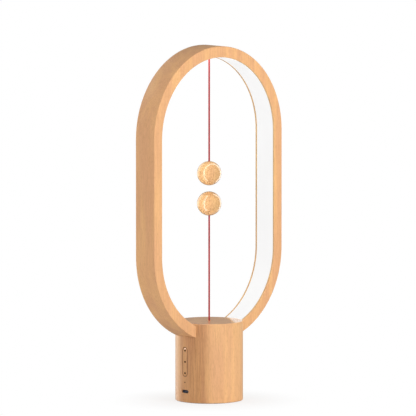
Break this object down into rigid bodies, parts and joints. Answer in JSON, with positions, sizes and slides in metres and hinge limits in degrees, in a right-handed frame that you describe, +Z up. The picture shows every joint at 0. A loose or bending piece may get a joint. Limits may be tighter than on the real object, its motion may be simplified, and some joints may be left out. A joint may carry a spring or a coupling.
{
  "type": "magnetic balance lamp",
  "caption": "Table lamp: wooden ring lit from inside on a round wooden base, with two corded wooden balls that hold each other by magnets and work its switch.",
  "frame": {"origin": "centre of the foot ring's underside, on the table", "axes": "+X to the right in the plane of the ring, -Y towards the front, +Z up; the keys and the charging socket are on the -X side"},
  "size_m": [0.2, 0.076, 0.4],
  "materials": {
    "ring_beech": "clear satin varnish",
    "base_beech": "clear satin varnish",
    "ball_beech": "glossy clear lacquer",
    "dowel_wood": "bare wood",
    "cover_beech": "bare sanded wood",
    "dot_walnut": "dark inlay, satin",
    "diffuser": "frosted white, lit from inside",
    "strip_white": "white strip coating",
    "led_yellow": "yellow phosphor",
    "cord_red": "round braided cord",
    "cord_dark": "tight knot of the same cord",
    "brass": "turned",
    "magnet": "nickel plated",
    "screw_steel": "blackened steel",
    "bright_steel": "bright steel",
    "ballast_steel": "sawn steel plate",
    "dark_nylon": "moulded nylon",
    "black_plastic": "moulded",
    "grey_plastic": "moulded",
    "button_red": "moulded",
    "board_green": "solder mask",
    "chip_black": "moulded packages",
    "window_white": "clear white window",
    "lens_amber": "tinted light guide",
    "tongue_blue": "dark contact tongue",
    "battery_wrap": "shrink wrap",
    "wire_red": "silicone insulation",
    "wire_black": "silicone insulation",
    "foot_rubber": "soft ring"
  },
  "bodies": {
    "root": {"ring_front": "ring_beech", "ring_rear": "ring_beech", "ring_dowels": "dowel_wood", "led_strip": "strip_white", "led_chips": "led_yellow", "diffuser_left": "diffuser", "diffuser_right": "diffuser", "cord_anchor": "brass", "base_body": "base_beech", "saddle_block": "base_beech", "ring_screws": "screw_steel", "pull_bush": "brass", "spring_washer": "bright_steel", "microswitch": "black_plastic", "switch_bracket": "bright_steel", "bracket_screws": "screw_steel", "circuit_board": "board_green", "board_screws": "screw_steel", "board_parts": "chip_black", "press_switches": "bright_steel", "charge_light": "lens_amber", "charge_led": "strip_white", "usb_shell": "bright_steel", "usb_tongue": "tongue_blue", "battery_pack": "battery_wrap", "battery_cradle": "black_plastic", "led_wires": "wire_red", "battery_wires": "wire_red", "switch_wires": "wire_black", "ballast_plate": "ballast_steel", "ballast_screws": "screw_steel", "bottom_cover": "cover_beech", "cover_screws": "screw_steel", "foot_ring": "foot_rubber"},
    "upper_swivel": {"upper_bead": "brass"},
    "upper_pendulum": {"upper_cord": "cord_red", "upper_knots": "cord_dark", "upper_ball": "ball_beech", "upper_magnet": "magnet", "upper_plug": "ball_beech"},
    "plunger": {"pull_plunger": "dark_nylon", "stem_collar": "dark_nylon", "return_spring": "bright_steel"},
    "lower_swivel": {"lower_bead": "brass"},
    "lower_pendulum": {"lower_cord": "cord_red", "lower_knots": "cord_dark", "lower_ball": "ball_beech", "lower_magnet": "magnet", "lower_plug": "ball_beech"},
    "lever": {"switch_lever": "bright_steel"},
    "micro_button": {"switch_button": "button_red"},
    "carrier": {"key_carrier": "grey_plastic"},
    "keys": {"key_bar": "base_beech", "key_dots": "dot_walnut", "key_window": "window_white"}
  },
  "joints": [
    {"name": "upper_swing_front", "type": "hinge", "parent": "root", "child": "upper_swivel", "pos_m": [0, 0, 0.389], "axis": [1, 0, 0], "range_deg": [-20, 20]},
    {"name": "upper_swing_side", "type": "hinge", "parent": "upper_swivel", "child": "upper_pendulum", "pos_m": [0, 0, 0.389], "axis": [0, 1, 0], "range_deg": [-30, 30]},
    {"name": "switch_pull", "type": "slide", "parent": "root", "child": "plunger", "axis": [0, 0, 1], "range_m": [-0.002, 0], "stiffness_N_per_m": 300, "springref_m": 0.001, "deforming": ["return_spring"]},
    {"name": "lower_swing_front", "type": "hinge", "parent": "plunger", "child": "lower_swivel", "pos_m": [0, 0, 0.0868], "axis": [1, 0, 0], "range_deg": [-10, 10], "stiffness_Nm_per_rad": 0.06},
    {"name": "lower_swing_side", "type": "hinge", "parent": "lower_swivel", "child": "lower_pendulum", "pos_m": [0, 0, 0.0868], "axis": [0, 1, 0], "range_deg": [-12, 12], "stiffness_Nm_per_rad": 0.06},
    {"name": "switch_lever_turn", "type": "hinge", "parent": "root", "child": "lever", "pos_m": [0.024, 0, 0.0469], "axis": [0, 1, 0], "range_deg": [-6.2, 0]},
    {"name": "switch_button_press", "type": "slide", "parent": "root", "child": "micro_button", "axis": [0, 0, 1], "range_m": [-0.001, 0]},
    {"name": "keys_press", "type": "slide", "parent": "root", "child": "carrier", "axis": [1, 0, 0], "range_m": [0, 0.0003], "stiffness_N_per_m": 800, "springref_m": -0.0004},
    {"name": "keys_rock", "type": "hinge", "parent": "carrier", "child": "keys", "pos_m": [-0.03275, 0, 0.0463], "axis": [0, 1, 0], "range_deg": [-1.2, 1.2], "stiffness_Nm_per_rad": 0.05}
  ],
  "couplings": [
    {"joint": "switch_lever_turn", "follows": "switch_pull", "rad_per_m": 50.633},
    {"joint": "switch_button_press", "follows": "switch_pull", "ratio": 0.43038}
  ]
}
